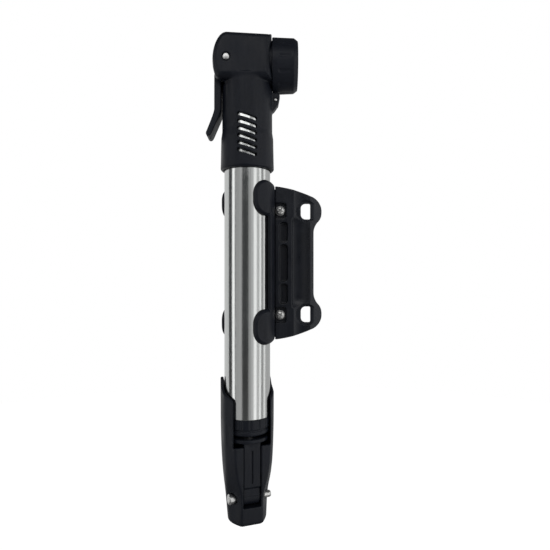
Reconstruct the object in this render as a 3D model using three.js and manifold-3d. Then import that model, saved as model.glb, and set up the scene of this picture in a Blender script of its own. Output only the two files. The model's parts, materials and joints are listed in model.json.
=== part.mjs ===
// A folding-handle mini pump for a bicycle, clipped upright in its frame bracket.
// Units are millimetres and +Z is up. The pump is drawn about the barrel's axis, with z = 0 at the middle of
// the bracket and the pump's front towards -Y. At the end it is moved so that the part's origin lies on the
// bracket's frame pad.
import * as THREE from 'three';
import { mergeVertices } from 'three/addons/utils/BufferGeometryUtils.js';
import Module from 'manifold-3d';

const wasm = await Module();
wasm.setup();

// ---------------------------------------------------------------- driving dimensions
const barrelRadius = 14;
const barrelWall = 1.4;
const gap = 0.3; // left between pieces that touch
const bossPitch = 64; // bottle-cage bosses on a bicycle frame
const slotWidth = 5.9;
const slotHeight = 9.8;
const plateHalfHeight = 47.5;
const slotX = 36; // from the barrel's axis to the bosses
const padY = 6.4; // from the barrel's axis back to the frame pad
const handleYaw = THREE.MathUtils.degToRad(20);

// Heights of the main stations, from the bracket's middle
const handleBottom = -157.3;
const pivotZ = handleBottom + 16;
const discBottom = handleBottom + 50;
const discTop = discBottom + 2.4;
const capBottom = -102.9;
const capTop = -93.2;
const barrelBottom = capTop + gap;
const barrelTop = 88;
const rimZ = 56.1; // lower rim of the head's sleeve
const outletZ = 120.4; // axis of the outlet and of the lever's pin
const pistonTop = 76;
const pistonBottom = 66;

const barrelInner = barrelRadius - barrelWall;
const rodRadius = 5;
const bushInner = rodRadius + 0.25;
const bushOuter = 7.2;
const leverPinX = -11.7;
const pivotForward = 5; // the handle's pin lies this far in front of the barrel's axis

// ---------------------------------------------------------------- materials
function material(color, roughness, metalness) {
  return new THREE.MeshStandardMaterial({ color, roughness, metalness });
}
const blackPlastic = material(0x1b1d21, 0.5, 0);
const barrelAluminium = material(0xc4c8c6, 0.3, 1);
const steel = material(0xb9bab8, 0.3, 1);
const rubber = material(0x141414, 0.85, 0);
const whitePlastic = material(0xd8d6cc, 0.5, 0);

// ---------------------------------------------------------------- solids
// A closed geometry as a solid for cutting and joining.
function solid(geometry) {
  const plain = geometry.index ? geometry.toNonIndexed() : geometry.clone();
  plain.deleteAttribute('normal');
  plain.deleteAttribute('uv');
  const merged = mergeVertices(plain, 1e-4);
  return new wasm.Manifold(
    new wasm.Mesh({
      numProp: 3,
      vertProperties: merged.attributes.position.array,
      triVerts: new Uint32Array(merged.index.array),
    }),
  );
}

function geometryOf(manifold) {
  const mesh = manifold.getMesh();
  const geometry = new THREE.BufferGeometry();
  geometry.setAttribute('position', new THREE.BufferAttribute(mesh.vertProperties, 3));
  geometry.setIndex(new THREE.BufferAttribute(mesh.triVerts, 1));
  return geometry;
}

function union(...parts) {
  return parts.reduce((whole, part) => whole.add(part));
}

function cut(body, ...tools) {
  return tools.reduce((whole, tool) => whole.subtract(tool), body);
}

// A turned solid about the Z axis. The profile's points are [radius, z], going up the outside.
function turned(profile, segments = 36) {
  const points = profile.map(([radius, z]) => new THREE.Vector2(radius, z));
  return new THREE.LatheGeometry(points, segments).rotateX(Math.PI / 2);
}

// The same about the X axis: the profile's points are [radius, x].
function turnedX(profile, segments = 36) {
  return turned(profile, segments).rotateY(Math.PI / 2);
}

function rod(radius, z0, z1, segments = 20) {
  return turned([[0, z0], [radius, z0], [radius, z1], [0, z1]], segments);
}

function ring(inner, outer, z0, z1, segments = 36) {
  return turned([[inner, z0], [outer, z0], [outer, z1], [inner, z1], [inner, z0]], segments);
}

function rodX(radius, x0, x1, segments = 24) {
  return rod(radius, x0, x1, segments).rotateY(Math.PI / 2);
}

function rodY(radius, y0, y1, segments = 24) {
  return rod(radius, -y1, -y0, segments).rotateX(Math.PI / 2);
}

function block(x0, x1, y0, y1, z0, z1) {
  const box = new THREE.BoxGeometry(x1 - x0, y1 - y0, z1 - z0);
  return box.translate((x0 + x1) / 2, (y0 + y1) / 2, (z0 + z1) / 2);
}

// An outline in X and Z, extruded from y0 back to y1.
function alongY(shape, y0, y1, curveSegments = 8) {
  const depth = y1 - y0;
  const prism = new THREE.ExtrudeGeometry(shape, { depth, bevelEnabled: false, curveSegments });
  return prism.rotateX(Math.PI / 2).translate(0, y1, 0);
}

// An outline in X and Y, extruded from z0 up to z1.
function alongZ(shape, z0, z1, curveSegments = 8) {
  const prism = new THREE.ExtrudeGeometry(shape, { depth: z1 - z0, bevelEnabled: false, curveSegments });
  return prism.translate(0, 0, z0);
}

// An outline in Y and Z, extruded from x0 to x1.
function alongX(shape, x0, x1, curveSegments = 8) {
  const prism = new THREE.ExtrudeGeometry(shape, { depth: x1 - x0, bevelEnabled: false, curveSegments });
  const turn = new THREE.Matrix4().makeBasis(
    new THREE.Vector3(0, 1, 0),
    new THREE.Vector3(0, 0, 1),
    new THREE.Vector3(1, 0, 0),
  );
  return prism.applyMatrix4(turn).translate(x0, 0, 0);
}

function outline(points) {
  return new THREE.Shape(points.map(([x, y]) => new THREE.Vector2(x, y)));
}

// A rectangle with rounded corners, from its lowest to its highest corner.
function roundedRectangle(x0, x1, y0, y1, radius, rightRadius = radius) {
  const shape = new THREE.Shape();
  shape.absarc(x1 - rightRadius, y0 + rightRadius, rightRadius, -Math.PI / 2, 0, false);
  shape.absarc(x1 - rightRadius, y1 - rightRadius, rightRadius, 0, Math.PI / 2, false);
  shape.absarc(x0 + radius, y1 - radius, radius, Math.PI / 2, Math.PI, false);
  shape.absarc(x0 + radius, y0 + radius, radius, Math.PI, 1.5 * Math.PI, false);
  shape.closePath();
  return shape;
}

function regularPolygon(x, y, acrossFlats, sides) {
  const radius = acrossFlats / 2 / Math.cos(Math.PI / sides);
  const corners = [];
  for (let i = 0; i < sides; i += 1) {
    const angle = (2 * Math.PI * (i + 0.5)) / sides;
    corners.push([x + radius * Math.cos(angle), y + radius * Math.sin(angle)]);
  }
  return outline(corners);
}

// A closed skin over rings of equal length that follow each other upwards.
function lofted(rings) {
  const count = rings[0].length;
  const positions = rings.flat().flatMap((point) => point.toArray());
  const faces = [];
  for (let level = 0; level + 1 < rings.length; level += 1) {
    for (let i = 0; i < count; i += 1) {
      const a = level * count + i;
      const b = level * count + ((i + 1) % count);
      faces.push(a, b, b + count, a, b + count, a + count);
    }
  }
  [0, rings.length - 1].forEach((level) => {
    const centre = rings[level].reduce((sum, point) => sum.add(point), new THREE.Vector3());
    positions.push(...centre.divideScalar(count).toArray());
    const hub = positions.length / 3 - 1;
    for (let i = 0; i < count; i += 1) {
      const a = level * count + i;
      const b = level * count + ((i + 1) % count);
      faces.push(...(level === 0 ? [hub, b, a] : [hub, a, b]));
    }
  });
  const geometry = new THREE.BufferGeometry();
  geometry.setAttribute('position', new THREE.Float32BufferAttribute(positions, 3));
  geometry.setIndex(faces);
  return geometry;
}

function named(name, shape, finish) {
  const geometry = shape.isBufferGeometry ? shape : geometryOf(shape);
  const mesh = new THREE.Mesh(geometry, finish);
  mesh.name = name;
  return mesh;
}

// ---------------------------------------------------------------- bracket
const clipInner = barrelRadius + gap;
const clipOuter = clipInner + 2.5;
const bandInnerZ = 28; // the gripping bands lie between these heights, above and below the middle
const bandOuterZ = 49.2;
const bandSideZ = 46.3; // their outer edges come in to this height beside and behind the barrel
const bandFrontAngle = 18; // the bands reach round the barrel between these angles, in degrees
const bandRearAngle = 257;
const armLeft = 17.1; // left edge of the plate, just outside the clip
const armFront = 2;
const armRight = 29.5;
const armBack = 11;
const seatY = armFront + 2.6; // floor of the recess round a bracket screw
const washerThickness = 0.6;
const flangeFront = armBack + gap;
const flangeBack = flangeFront + 3.2;
const screwX = 20.2;
const screwZ = bossPitch / 2 + 0.3;
const screwHole = 1.8;
const saddleRadius = 19; // hollow of the plate's back, for a down tube of 35 to 38 mm
const padHalfWidth = 4;

// An arc of the clip's wall. Angles are degrees from the front, turning towards the plate.
function clipWall(from, to) {
  const start = THREE.MathUtils.degToRad(from - 90);
  const end = THREE.MathUtils.degToRad(to - 90);
  const shape = new THREE.Shape();
  shape.absarc(0, 0, clipOuter, start, end, false);
  shape.absarc(0, 0, clipInner, end, start, true);
  shape.closePath();
  return shape;
}

// The rounded front end of a band and its outer edge are cut along Y, and its rounded rear end along X.
function bandTipCutters() {
  const outside = [bandInnerZ - 1, bandOuterZ + 1];
  const edge = new THREE.Shape();
  edge.moveTo(8.5, bandOuterZ + 1);
  edge.lineTo(8.5, bandOuterZ);
  edge.quadraticCurveTo(14, bandOuterZ, clipOuter, bandSideZ);
  edge.lineTo(30, bandSideZ);
  edge.lineTo(30, bandOuterZ + 1);
  edge.closePath();
  const side = solid(alongY(edge, -20, 0, 6)).add(solid(block(-30, 30, -0.1, 20, bandSideZ, bandOuterZ + 1)));
  const frontTipX = clipInner * Math.sin(THREE.MathUtils.degToRad(bandFrontAngle)) - gap;
  const rearTipY = -clipInner * Math.cos(THREE.MathUtils.degToRad(bandRearAngle));
  const front = solid(alongY(roundedRectangle(-30, 30, ...outside, 1), -20, 0, 4))
    .subtract(solid(alongY(roundedRectangle(frontTipX, 60, bandInnerZ, bandOuterZ, 6), -21, 1, 5)));
  const rear = solid(alongX(roundedRectangle(0, 30, ...outside, 1), -20, -2, 4))
    .subtract(solid(alongX(roundedRectangle(rearTipY, 60, bandInnerZ, bandSideZ, 8), -21, -1, 6)));
  return [front, rear, side];
}

function clip() {
  const flangeEnd = bandOuterZ - 2;
  const spine = solid(alongZ(clipWall(57, 152), -bandInnerZ - 1, bandInnerZ + 1, 4));
  const band = solid(alongZ(clipWall(bandFrontAngle, bandRearAngle), bandInnerZ, bandOuterZ, 9));
  const upperBand = cut(band, ...bandTipCutters());
  const lowerBand = upperBand.mirror([0, 0, 1]);
  const flange = solid(alongY(roundedRectangle(6, 25, -flangeEnd, flangeEnd, 3), flangeFront, flangeBack, 4));
  const whole = union(spine, upperBand, lowerBand, flange);
  const holes = [-screwZ, screwZ].map((z) => {
    const hole = rodY(screwHole, flangeFront - 1, flangeBack + 1, 16);
    return solid(hole.translate(screwX, 0, z));
  });
  return cut(whole, solid(rod(clipInner, -60, 60, 48)), ...holes);
}

// The plate's section in X and Y, the same at every height.
function plateSection() {
  const tubeY = padY + Math.sqrt(saddleRadius ** 2 - padHalfWidth ** 2);
  const saddle = (x) => tubeY - Math.sqrt(saddleRadius ** 2 - (x - slotX) ** 2);
  const ridgeX = 38.7;
  const tipX = 46.4;
  const shape = new THREE.Shape();
  shape.moveTo(armLeft, armFront);
  shape.lineTo(armRight - 0.1, armFront);
  shape.lineTo(armRight + 0.2, armFront + 1.6);
  shape.quadraticCurveTo(35, armFront + 1.4, ridgeX, armFront - 0.4);
  shape.lineTo(tipX, 6.3);
  shape.lineTo(tipX, saddle(tipX));
  [44.5, 42.2].forEach((x) => shape.lineTo(x, saddle(x)));
  shape.lineTo(slotX + padHalfWidth, padY);
  shape.lineTo(slotX - padHalfWidth, padY);
  [30, 28, 26].forEach((x) => shape.lineTo(x, saddle(x)));
  shape.lineTo(24.6, armBack);
  shape.lineTo(armLeft, armBack);
  shape.closePath();
  return shape;
}

// The plate's outline from the front: a waist between two rounded ears.
function plateOutline() {
  const shape = new THREE.Shape();
  const waistX = 41;
  const earRadius = 9.6;
  const earX = 36.8;
  const earZ = bossPitch / 2;
  const neckAngle = 0.62; // where an ear's arc runs into the waist
  const neckX = earX + earRadius * Math.cos(neckAngle);
  const neckZ = earZ - earRadius * Math.sin(neckAngle);
  shape.moveTo(armLeft - 1, -plateHalfHeight);
  shape.lineTo(armLeft, -plateHalfHeight);
  shape.quadraticCurveTo(30, -plateHalfHeight + 1.6, earX + 2.2, -earZ - earRadius + 0.3);
  shape.absarc(earX, -earZ, earRadius, -1.25, neckAngle, false);
  shape.quadraticCurveTo(waistX + 0.2, -earZ + 9, waistX, -earZ + 13);
  shape.lineTo(waistX, earZ - 13);
  shape.quadraticCurveTo(waistX + 0.2, earZ - 9, neckX, neckZ);
  shape.absarc(earX, earZ, earRadius, -neckAngle, 1.25, false);
  shape.quadraticCurveTo(30, plateHalfHeight - 1.6, armLeft, plateHalfHeight);
  shape.lineTo(armLeft - 1, plateHalfHeight);
  shape.closePath();
  return shape;
}

// An elongated hole for a cage bolt, with the round seat of the bolt's head in front.
function boltSlot(z) {
  const halfWidth = slotWidth / 2;
  const halfHeight = slotHeight / 2;
  const seatDepth = 1.3;
  const slot = roundedRectangle(
    slotX - halfWidth,
    slotX + halfWidth,
    z - halfHeight,
    z + halfHeight,
    halfWidth - 0.1,
    0.9,
  );
  const seat = rodY(6.4, -2, armFront + seatDepth, 32).translate(slotX + 0.4, 0, z);
  return solid(alongY(slot, -2, 20, 4)).add(solid(seat));
}

function mountPlate() {
  const body = solid(alongZ(plateSection(), -60, 60, 6))
    .intersect(solid(alongY(plateOutline(), 0, 20, 8)));
  const slots = [-bossPitch / 2, bossPitch / 2].map(boltSlot);
  const pockets = [[13, 25.2], [-11.4, 11.4], [-25.2, -13]].map(([z0, z1]) =>
    solid(alongY(roundedRectangle(19.9, 24.7, z0, z1, 1.8), -2, armFront + 3.4, 3)));
  const screwSeats = [-screwZ, screwZ].map((z) => {
    const recess = solid(alongY(roundedRectangle(armLeft - 3, 23.9, z - 4.9, z + 4.9, 1.8), -2, seatY, 4));
    return recess.add(solid(rodY(screwHole, 0, 20, 16).translate(screwX, 0, z)));
  });
  return cut(body, ...slots, ...pockets, ...screwSeats);
}

function bracketWasher() {
  return solid(rodY(2.9, seatY - gap - washerThickness, seatY - gap, 24))
    .subtract(solid(rodY(screwHole, seatY - 3, seatY + 3, 16)));
}

// A pan-head screw with a cross recess, its head towards the front.
function bracketScrew() {
  const headBack = seatY - washerThickness - 2 * gap;
  const head = turned([
    [0, headBack - 2.1],
    [1.6, headBack - 1.9],
    [2.2, headBack - 1.2],
    [2.45, headBack],
    [0, headBack],
  ], 20).rotateX(-Math.PI / 2);
  const shank = solid(rodY(1.45, headBack - 0.5, flangeBack + 3.4, 16));
  const arms = [0, Math.PI / 2].map((angle) =>
    solid(block(-1.5, 1.5, headBack - 3, headBack - 1, -0.35, 0.35).rotateY(angle + 0.5)));
  return cut(solid(head).add(shank), ...arms);
}

function bracketNut() {
  const front = flangeBack + gap;
  const body = solid(alongY(regularPolygon(0, 0, 5.5, 6), front, front + 2.4));
  return body.subtract(solid(rodY(screwHole, flangeBack, flangeBack + 4, 16)));
}

// ---------------------------------------------------------------- barrel and end cap
function barrelTube() {
  return ring(barrelInner, barrelRadius, barrelBottom, barrelTop, 48);
}

function endCap() {
  const plugTop = capTop + 11;
  const plugRadius = barrelInner - gap;
  const body = solid(turned([
    [0, capBottom],
    [12.6, capBottom],
    [13.4, capBottom + 0.8],
    [13.4, capBottom + 2.4],
    [12.9, capBottom + 3],
    [12.9, capBottom + 3.6],
    [13.8, capBottom + 4],
    [13.8, capTop],
    [plugRadius, capTop],
    [plugRadius, plugTop],
    [0, plugTop],
  ], 32));
  const flutes = [];
  const fluteCount = 16;
  for (let i = 0; i < fluteCount; i += 1) {
    const angle = (2 * Math.PI * (i + 0.5)) / fluteCount;
    flutes.push(solid(
      rod(0.8, capBottom + 4.2, capTop + 1, 6)
        .translate(14.2 * Math.cos(angle), 14.2 * Math.sin(angle), 0),
    ));
  }
  return cut(body, solid(rod(bushOuter + gap, capBottom - 1, plugTop + 1, 32)), ...flutes);
}

function rodBush() {
  return ring(bushInner, bushOuter, capBottom + 0.4, capTop + 10.6, 32);
}

// ---------------------------------------------------------------- head
const blockHalf = 15;
const blockRear = -20;
const blockFront = 15;
const registerRadius = 14.3; // a low disc on the block's front that the collar's back fits over
const ceilingZ = 91.6;
const leverHalf = 6.9;
const chamberRadius = 7;
const noseEnd = 25;
const rivetX = 17.4;
const rivetZ = outletZ - 21.4;

// Side profile of the head block: straight front, rear rounded about the lever's pin.
function headProfile() {
  const z = outletZ;
  const shape = new THREE.Shape();
  shape.moveTo(blockFront, z - 12.2);
  shape.lineTo(blockFront, z + 14);
  shape.lineTo(-11.5, z + 15.5);
  shape.bezierCurveTo(-16.5, z + 15.5, -19.9, z + 7.5, blockRear, z);
  shape.bezierCurveTo(blockRear, z - 4, -19.5, z - 7, -18.6, z - 9.4);
  shape.bezierCurveTo(-18, z - 11.4, -16.5, z - 12.2, -14.5, z - 12.2);
  shape.closePath();
  return shape;
}

function ventCutters() {
  const cutters = [];
  const ventCount = 6;
  const pitch = 4.22;
  for (let i = 0; i < ventCount; i += 1) {
    const z = 64.6 + pitch * i;
    const slot = alongY(roundedRectangle(-6.1, 6.1, -1, 1, 0.98), -20, -8, 3);
    cutters.push(solid(slot.rotateY(0.29).translate(0.6, 0, z)));
  }
  return cutters;
}

function headHousing() {
  const neck = solid(turned([
    [0, rimZ],
    [15.5, rimZ],
    [16.3, rimZ + 0.9],
    [16.2, rimZ + 4],
    [15.9, 76],
    [15.2, 78.5],
    [15.2, outletZ - 10],
    [0, outletZ - 10],
  ], 44)).subtract(solid(block(blockFront, 20, -20, 20, outletZ - 16.8, outletZ + 20)));
  const body = solid(
    alongX(
      roundedRectangle(-blockHalf, blockHalf, outletZ - 12.2, outletZ + 15.5, 4),
      -22,
      blockFront + 1,
      4,
    ),
  ).intersect(solid(alongY(headProfile(), -16, 16, 6)));
  const register = solid(rodX(registerRadius, blockFront - 1, blockFront + 0.9, 40).translate(0, 0, outletZ));
  const nose = solid(rodX(10.9, blockFront - 1, noseEnd, 28).translate(0, 0, outletZ));
  const lug = solid(alongY(outline([
    [11.5, outletZ - 13],
    [blockFront - 0.2, outletZ - 13],
    [blockFront, outletZ - 16.8],
    [19.2, outletZ - 17],
    [20, outletZ - 18.6],
    [19, outletZ - 24],
    [16.4, outletZ - 27.6],
    [13.2, outletZ - 29.6],
    [11.5, outletZ - 29.6],
  ]), -3.2, 3.2));
  const whole = union(neck, body, register, nose, lug);

  const barrelBore = solid(rod(barrelRadius + gap, rimZ - 1, ceilingZ, 44));
  const airChannel = solid(rod(2.2, ceilingZ - 1, outletZ, 16));
  const chamber = solid(rodX(chamberRadius, 1.6, noseEnd + 1, 24).translate(0, 0, outletZ));
  const stemGuide = solid(rodX(4.6, -6, 2, 16).translate(0, 0, outletZ));
  const leverSlot = solid(
    block(-22, -4, -leverHalf - 0.4, leverHalf + 0.4, outletZ - 13, outletZ + 8.8),
  );
  const pinHole = solid(rodY(2.45, -20, 20, 20).translate(leverPinX, 0, outletZ));
  const rivetHole = solid(rodY(1.15, -5, 5, 12).translate(rivetX, 0, rivetZ));
  const inside = [barrelBore, airChannel, chamber, stemGuide, leverSlot];
  return cut(whole, ...inside, pinHole, rivetHole, ...ventCutters());
}

// The plug in the barrel's top, with its air hole and a seat for the valve disc.
function barrelPlug() {
  const grooveZ = barrelTop - 5;
  const body = solid(turned([
    [0, 78],
    [barrelInner - gap, 78],
    [barrelInner - gap, grooveZ - 1.2],
    [barrelInner - 2, grooveZ - 1.2],
    [barrelInner - 2, grooveZ + 1.2],
    [barrelInner - gap, grooveZ + 1.2],
    [barrelInner - gap, barrelTop + gap],
    [13.8, barrelTop + gap],
    [13.8, ceilingZ - gap],
    [0, ceilingZ - gap],
  ], 28));
  const airHole = solid(rod(1.5, 77, 93, 12));
  const seat = solid(rod(5.2, barrelTop + 1.2, 93, 24));
  return cut(body, airHole, seat);
}

// A round seal of square-cut section, in a groove of the piece it rides on.
function seal(groove, outer, z) {
  return turned([
    [groove + gap, z - 0.7],
    [outer - 0.3, z - 0.9],
    [outer, z],
    [outer - 0.3, z + 0.9],
    [groove + gap, z + 0.7],
    [groove + gap, z - 0.7],
  ], 28);
}

function checkValve() {
  const bottom = barrelTop + 1.5;
  return turned([[0, bottom], [4.8, bottom], [4.8, bottom + 1], [0, bottom + 1.3]], 24);
}

function leverPin() {
  return turned([
    [0, -15.4],
    [1.7, -15.3],
    [2.15, -14.9],
    [2.15, 14.9],
    [1.7, 15.3],
    [0, 15.4],
  ], 20).rotateX(Math.PI / 2).translate(leverPinX, 0, outletZ);
}

function lugRivet() {
  return turned([[0, -3.7], [0.85, -3.5], [0.85, 3.5], [0, 3.7]], 12)
    .rotateX(Math.PI / 2)
    .translate(rivetX, 0, rivetZ);
}

function valveGasket() {
  const hole = 4.2;
  return turnedX([
    [hole, 13.4],
    [chamberRadius - gap, 13.4],
    [chamberRadius - gap, noseEnd + gap],
    [9.6, noseEnd + gap],
    [9.6, noseEnd + 2],
    [hole + 1, noseEnd + 2],
    [hole, noseEnd + 1],
    [hole, 13.4],
  ], 24).translate(0, 0, outletZ);
}

// The threaded collar: tapered outside, with grip scallops round its rim.
function nozzleCollar() {
  const front = 30.7;
  const back = blockFront + gap;
  const body = solid(turnedX([
    [11.3, back + 1],
    [registerRadius + gap, back + 1],
    [registerRadius + gap, back],
    [15.7, back],
    [16.3, back + 1],
    [15.7, front - 1.6],
    [14.6, front],
    [7.6, front],
    [6.4, front - 1],
    [6.4, noseEnd + 2.4],
    [11.3, noseEnd + 2.4],
    [11.3, back + 1],
  ], 48));
  const scallops = [];
  const count = 12;
  for (let i = 0; i < count; i += 1) {
    const angle = (2 * Math.PI * i) / count;
    scallops.push(solid(
      rodX(1.5, back + 4, front - 4, 6).translate(0, 17.1 * Math.sin(angle), 17.1 * Math.cos(angle)),
    ));
  }
  return cut(body, ...scallops).translate([0, 0, outletZ]);
}

const camRadius = 5.8;
const camOffset = 1.5;

function lockPlunger() {
  const rear = leverPinX + camRadius + 0.5;
  return turnedX([
    [0, rear],
    [4.3, rear],
    [4.3, 2.2],
    [chamberRadius - gap, 2.2],
    [chamberRadius - gap, 5],
    [chamberRadius - 1.8, 5],
    [chamberRadius - 1.8, 7.4],
    [chamberRadius - gap, 7.4],
    [chamberRadius - gap, 11.2],
    [3.6, 11.2],
    [1.2, 15],
    [0, 15],
  ], 20).translate(0, 0, outletZ);
}

function plungerRing() {
  return seal(chamberRadius - 1.8, chamberRadius - 0.2, 6.2).rotateY(Math.PI / 2).translate(0, 0, outletZ);
}

// The lever hangs down beside the neck, with its tip bent outwards for the thumb.
function thumbLever() {
  const x = leverPinX;
  const z = outletZ;
  const arm = new THREE.Shape();
  arm.moveTo(x - 2, z - 4);
  arm.lineTo(-15.5, z - 7.5);
  arm.lineTo(-15.5, z - 27);
  arm.quadraticCurveTo(-15.6, z - 30, -17, z - 33);
  arm.lineTo(-21.2, z - 43.4);
  arm.quadraticCurveTo(-22.4, z - 45.6, -24.2, z - 44.4);
  arm.quadraticCurveTo(-25.2, z - 43.4, -24.6, z - 41.8);
  arm.lineTo(-20.6, z - 32);
  arm.quadraticCurveTo(-19.6, z - 29.4, -19.6, z - 27);
  arm.lineTo(-19.6, z - 8);
  arm.quadraticCurveTo(-19.3, z - 3, x - 4, z + 1.5);
  arm.closePath();
  const blade = solid(alongY(arm, -leverHalf, leverHalf, 4));
  const cam = solid(rodY(camRadius, -leverHalf, leverHalf, 32).translate(x, 0, z + camOffset));
  const bore = solid(rodY(2.4, -10, 10, 20).translate(x, 0, z));
  return blade.add(cam).subtract(bore);
}

// ---------------------------------------------------------------- rod and piston
const stubRadius = 3.4;
const stubBottom = discTop - 12;

function pistonRod() {
  return turned([
    [0, stubBottom],
    [stubRadius, stubBottom],
    [stubRadius, discTop + gap],
    [rodRadius, discTop + gap],
    [rodRadius, pistonBottom - gap],
    [3.2, pistonBottom - gap],
    [3.2, pistonTop - 1],
    [1.8, pistonTop - 1],
    [1.8, pistonTop - 8],
    [0, pistonTop - 8],
  ], 20);
}

function piston() {
  const radius = barrelInner - gap;
  const grooveZ = pistonBottom + 5;
  return turned([
    [3.5, pistonBottom],
    [radius - 0.5, pistonBottom],
    [radius, pistonBottom + 0.6],
    [radius, grooveZ - 1.3],
    [radius - 2.2, grooveZ - 1.3],
    [radius - 2.2, grooveZ + 1.3],
    [radius, grooveZ + 1.3],
    [radius, pistonTop - 1.6],
    [radius - 0.8, pistonTop - 0.8],
    [3.5, pistonTop - 0.8],
    [3.5, pistonBottom],
  ], 28);
}

function pistonScrew() {
  return turned([
    [0, pistonTop - 7.6],
    [1.5, pistonTop - 7.6],
    [1.5, pistonTop - 0.5],
    [5, pistonTop - 0.5],
    [5, pistonTop + 0.4],
    [4, pistonTop + 1.4],
    [0, pistonTop + 1.4],
  ], 16);
}

const tongueHalf = 5.2;
const tongueRadius = 4.2;

// The disc under the cap and the tongue that reaches down to the handle's pin.
function rodEnd() {
  const disc = solid(turned([
    [0, discBottom],
    [12.6, discBottom],
    [13, discBottom + 0.5],
    [13, discTop - 0.6],
    [12.4, discTop],
    [0, discTop],
  ], 32));
  const side = new THREE.Shape();
  const front = -pivotForward - tongueRadius;
  const back = -pivotForward + tongueRadius;
  const face = front - 1.2; // flush with the handle's front, above what sweeps past as it folds
  side.moveTo(face, discBottom + 1);
  side.lineTo(face, pivotZ + 9.5);
  side.lineTo(front, pivotZ + 3);
  side.lineTo(front, pivotZ);
  side.absarc(-pivotForward, pivotZ, tongueRadius, Math.PI, 2 * Math.PI, false);
  side.lineTo(back, pivotZ + 10);
  side.lineTo(6.5, pivotZ + 22);
  side.lineTo(6.5, discBottom + 1);
  side.closePath();
  const tongue = solid(alongX(side, -tongueHalf, tongueHalf, 6));
  const socket = solid(rod(stubRadius + gap, stubBottom - 0.6, discTop + 1, 20));
  const bore = solid(rodX(2.3, -20, 20, 20).translate(0, -pivotForward, pivotZ));
  return disc.add(tongue).subtract(socket).subtract(bore);
}

// ---------------------------------------------------------------- handle, drawn with its opening towards -Y
const armInner = barrelRadius + 0.2; // half the width between the arms
const wallTop = discBottom - 2.1; // top of the front wall, which clears the disc as the handle folds
const armTop = handleBottom + 88;

// Heights above the handle's bottom, and there its half width, the half width of its flat front, and its
// reach to the front and to the back.
const handleStations = [
  [0, 9.6, 5.0, 8.9, 8.6],
  [1, 10.8, 5.8, 9.9, 9.8],
  [3, 11.8, 6.4, 10.4, 10.6],
  [16, 12.8, 6.4, 10.6, 12],
  [22, 13.6, 7.2, 11, 13],
  [28, 14.4, 9.4, 11.2, 14],
  [36, 15.1, 10.9, 11.3, 15],
  [44, 15.6, 11.4, 11.3, 15.8],
  [52, 15.9, 11.4, 11.3, 16.1],
  [62, 16.1, 11.4, 11.3, 16.2],
  [89, 16.2, 11.4, 11.3, 16.2],
];
const slimFront = 6.4;
const broadFront = 11.4;

// One ring of the handle's skin: a flat front, a round back, and flanks between them that are flat low down,
// where the front is slim, and round where it is broad.
function handleRing([height, half, corner, front, back], inset) {
  const points = [];
  const add = (x, y) => points.push(new THREE.Vector3(x, y, handleBottom + height));
  const halfWidth = half - inset;
  const arcSteps = 16;
  for (let i = 0; i < arcSteps; i += 1) {
    const angle = (Math.PI * i) / arcSteps;
    const bulge = 2 / 2.3;
    const x = halfWidth * Math.sign(Math.cos(angle)) * Math.abs(Math.cos(angle)) ** bulge;
    add(x, (back - inset) * Math.sin(angle) ** bulge);
  }
  const cornerX = corner - 0.6 * inset;
  const cornerY = front - inset;
  const cornerAngle = Math.atan2(cornerY, cornerX);
  const cornerRadius = Math.hypot(cornerX, cornerY);
  const roundness = THREE.MathUtils.clamp((corner - slimFront) / (broadFront - slimFront), 0, 1);
  const onArc = (radius, angle) => new THREE.Vector2(radius * Math.cos(angle), radius * Math.sin(angle));
  const flatEnd = 0.35; // a flat side runs from the front's corner round to this angle
  const first = new THREE.Vector2(cornerX, cornerY);
  const last = onArc(halfWidth, flatEnd);
  const bulged = onArc((cornerRadius + halfWidth) / 2, (cornerAngle + flatEnd) / 2);
  const middle = first.clone().lerp(last, 0.5).lerp(bulged, roundness);
  const side = [first, middle, last, onArc(halfWidth, flatEnd / 2)];
  add(-halfWidth, 0);
  side.toReversed().forEach((point) => add(-point.x, -point.y));
  side.forEach((point) => add(point.x, -point.y));
  return points;
}

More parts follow.
